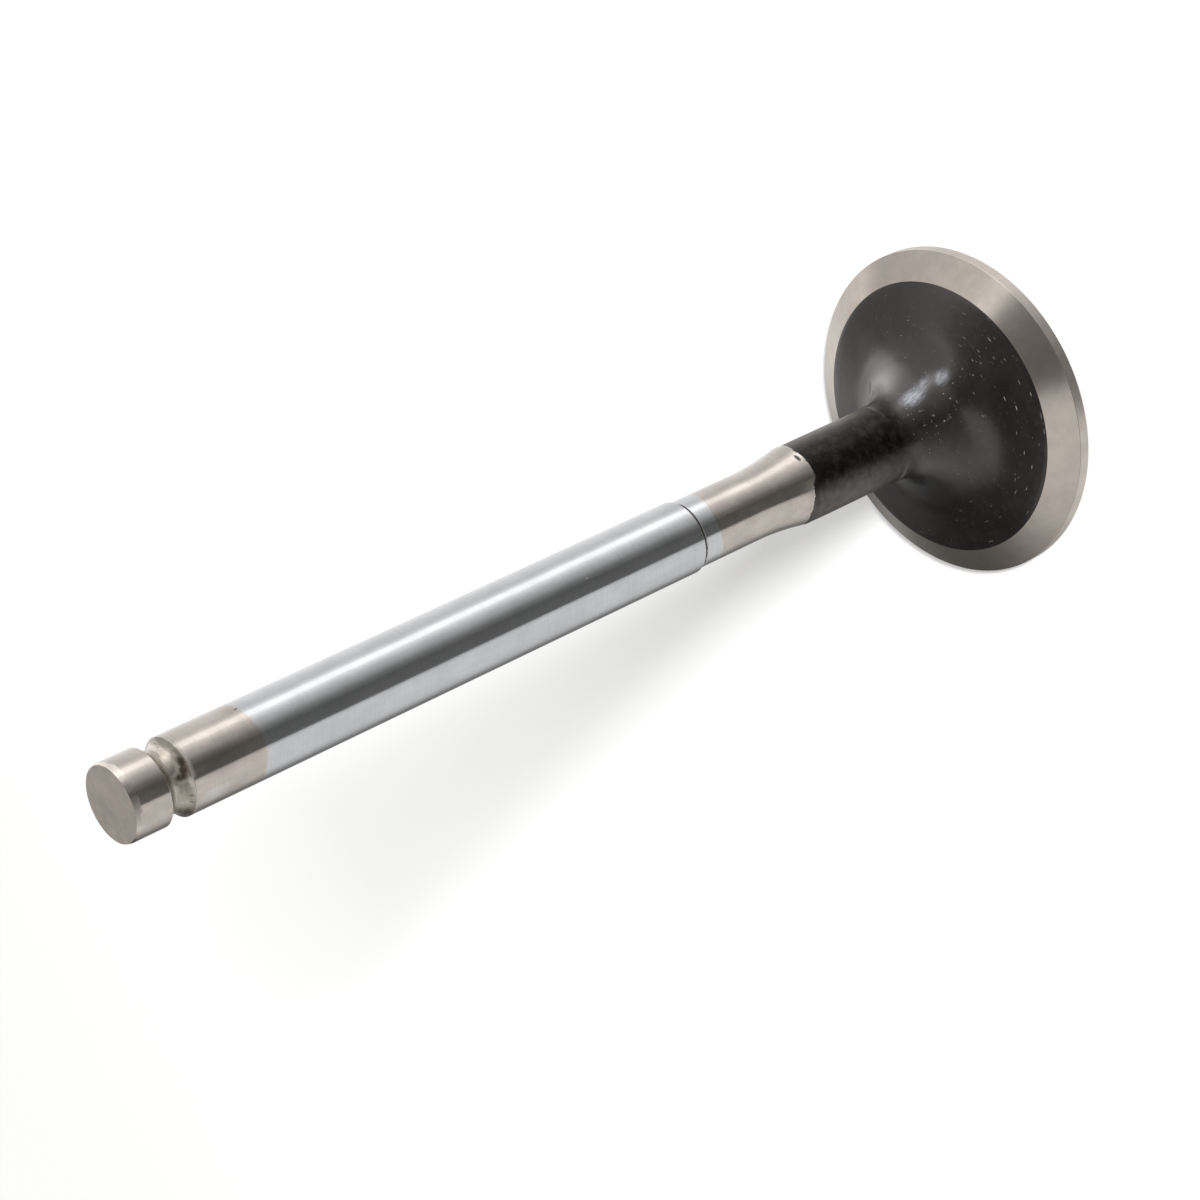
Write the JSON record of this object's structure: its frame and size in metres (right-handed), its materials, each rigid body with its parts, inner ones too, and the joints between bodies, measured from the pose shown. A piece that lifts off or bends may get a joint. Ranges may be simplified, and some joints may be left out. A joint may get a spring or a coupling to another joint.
{
  "type": "engine valve",
  "caption": "Poppet valve of a piston engine: round head with a ground seat face, black forged neck, and a ground stem with a round keeper groove near its flat tip.",
  "frame": {"origin": "centre of the flat face of the head", "axes": "+Z along the stem, from the head to the tip; the part is round about it"},
  "size_m": [0.0424, 0.0424, 0.1301],
  "materials": {
    "valve_steel": "ground"
  },
  "bodies": {
    "root": {"valve": "valve_steel"}
  },
  "joints": []
}
